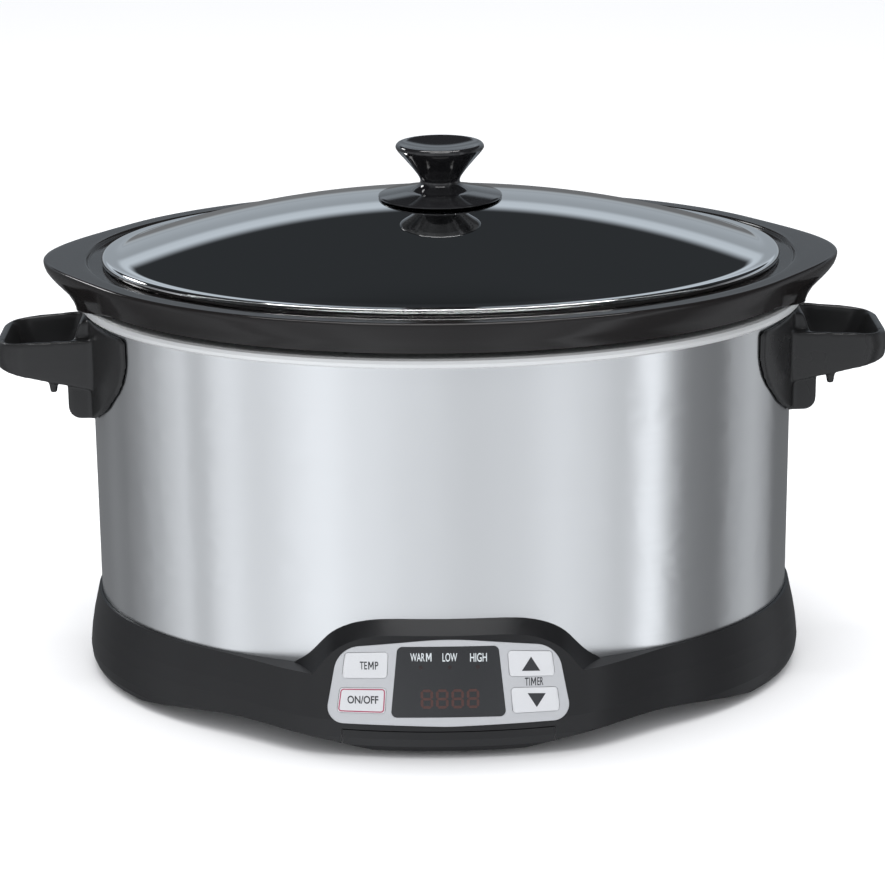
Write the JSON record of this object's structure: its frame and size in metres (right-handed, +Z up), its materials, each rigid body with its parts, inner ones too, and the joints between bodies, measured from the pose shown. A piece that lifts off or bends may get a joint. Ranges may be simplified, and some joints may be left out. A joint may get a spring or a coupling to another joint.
{
  "type": "slow cooker",
  "caption": "Oval programmable slow cooker: steel-wrapped heating base with control panel, lift-out crock with end lugs, domed glass lid and side handles.",
  "frame": {"origin": "on the surface it stands on, under the middle of the oval body", "axes": "+X along the long axis to the right-hand handle, -Y towards the control panel at the front, +Z up"},
  "size_m": [0.443, 0.2929, 0.2657],
  "materials": {
    "brushed_wrap": "satin",
    "well_steel": "satin",
    "base_plastic": "satin",
    "base_plate_plastic": "matte",
    "panel_silver": "satin",
    "window_tint": "gloss",
    "foot_rubber": "matte",
    "gland_plastic": "matte",
    "handle_plastic": "satin",
    "plated_steel": "satin",
    "mica_band": "matte",
    "terminal_brass": "satin",
    "glass_wool": "matte",
    "reflector_aluminium": "satin",
    "fuse_metal": "satin",
    "board_green": "satin",
    "relay_plastic": "satin",
    "capacitor_plastic": "satin",
    "terminal_plastic": "satin",
    "capacitor_sleeve": "gloss",
    "wire_sleeve": "matte",
    "ribbon_grey": "matte",
    "chip_plastic": "matte",
    "display_face": "gloss",
    "led_lens": "gloss",
    "button_silver": "satin",
    "plunger_plastic": "satin",
    "crock_glaze": "gloss",
    "lid_glass": "gloss",
    "knob_gloss": "gloss",
    "gasket_silicone": "matte"
  },
  "bodies": {
    "housing": {"steel_wrap": "brushed_wrap", "heating_well": "well_steel", "base_housing": "base_plastic", "chin_cover": "base_plastic", "panel_plate": "panel_silver", "display_window": "window_tint", "base_plate": "base_plate_plastic", "rubber_feet": "foot_rubber", "cord_gland": "gland_plastic", "right_handle": "handle_plastic", "left_handle": "handle_plastic", "handle_backing_plates": "plated_steel", "handle_screws": "plated_steel", "heating_band": "mica_band", "band_clamps": "plated_steel", "heater_terminals": "terminal_brass", "insulation_blanket": "glass_wool", "bottom_reflector": "reflector_aluminium", "tie_stud": "plated_steel", "tie_spacer": "plated_steel", "tie_nut": "plated_steel", "temperature_sensor": "reflector_aluminium", "sensor_spring": "plated_steel", "sensor_bracket": "plated_steel", "thermal_fuse": "fuse_metal", "fuse_clip": "plated_steel", "power_board": "board_green", "power_board_screws": "plated_steel", "relay": "relay_plastic", "film_capacitor": "capacitor_plastic", "terminal_block": "terminal_plastic", "smoothing_capacitors": "capacitor_sleeve", "heater_wires": "wire_sleeve", "ribbon_cable": "ribbon_grey", "control_board": "board_green", "control_board_screws": "plated_steel", "microcontroller": "chip_plastic", "digit_display": "display_face", "indicator_leds": "led_lens", "switch_bodies": "chip_plastic", "base_plate_screws": "plated_steel", "chin_cover_screws": "plated_steel"},
    "crock": {"crock": "crock_glaze"},
    "lid": {"lid_glass": "lid_glass", "lid_knob": "knob_gloss", "knob_disc": "knob_gloss", "knob_gasket": "gasket_silicone", "knob_washer": "plated_steel", "knob_screw": "plated_steel"},
    "temp_key": {"temp_button": "button_silver", "temp_plunger": "plunger_plastic"},
    "power_key": {"power_button": "button_silver", "power_plunger": "plunger_plastic"},
    "timer_up_key": {"timer_up_button": "button_silver", "timer_up_plunger": "plunger_plastic"},
    "timer_down_key": {"timer_down_button": "button_silver", "timer_down_plunger": "plunger_plastic"}
  },
  "joints": [
    {"name": "crock_lift", "type": "slide", "parent": "housing", "child": "crock", "axis": [0, 0, 1], "range_m": [0, 0.17]},
    {"name": "lid_lift", "type": "slide", "parent": "crock", "child": "lid", "axis": [0, 0, 1], "range_m": [0, 0.12]},
    {"name": "temp_press", "type": "slide", "parent": "housing", "child": "temp_key", "axis": [0, 0.9756, -0.2195], "range_m": [0, 0.0005], "stiffness_N_per_m": 800, "springref_m": -0.0004},
    {"name": "power_press", "type": "slide", "parent": "housing", "child": "power_key", "axis": [0, 0.9756, -0.2195], "range_m": [0, 0.0005], "stiffness_N_per_m": 800, "springref_m": -0.0004},
    {"name": "timer_up_press", "type": "slide", "parent": "housing", "child": "timer_up_key", "axis": [0, 0.9756, -0.2195], "range_m": [0, 0.0005], "stiffness_N_per_m": 800, "springref_m": -0.0004},
    {"name": "timer_down_press", "type": "slide", "parent": "housing", "child": "timer_down_key", "axis": [0, 0.9756, -0.2195], "range_m": [0, 0.0005], "stiffness_N_per_m": 800, "springref_m": -0.0004}
  ]
}
